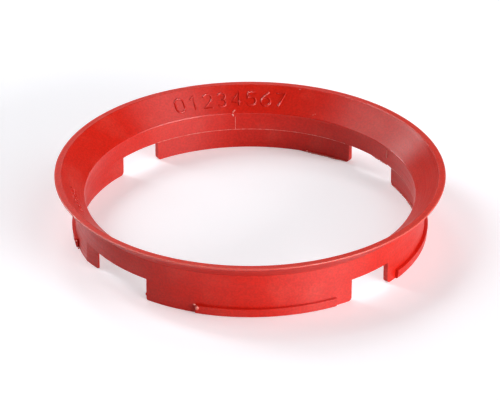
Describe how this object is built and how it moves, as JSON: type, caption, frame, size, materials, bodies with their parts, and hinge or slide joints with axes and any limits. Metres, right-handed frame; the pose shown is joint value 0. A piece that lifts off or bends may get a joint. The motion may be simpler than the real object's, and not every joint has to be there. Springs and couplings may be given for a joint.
{
  "type": "hub centric ring",
  "caption": "Moulded plastic ring that centres a wheel on its hub: flared lip, stepped bore, and snap tabs with raised beads between notches in the lower edge.",
  "frame": {"origin": "on the ring's axis, level with the bottom of the tabs", "axes": "+Z along the ring's axis towards the flared lip; the picture looks along +Y, down at about 30 degrees, with +X to the right"},
  "size_m": [0.0856, 0.0856, 0.0141],
  "materials": {
    "red_plastic": "satin, as moulded, coloured through"
  },
  "bodies": {
    "root": {"ring": "red_plastic"}
  },
  "joints": []
}
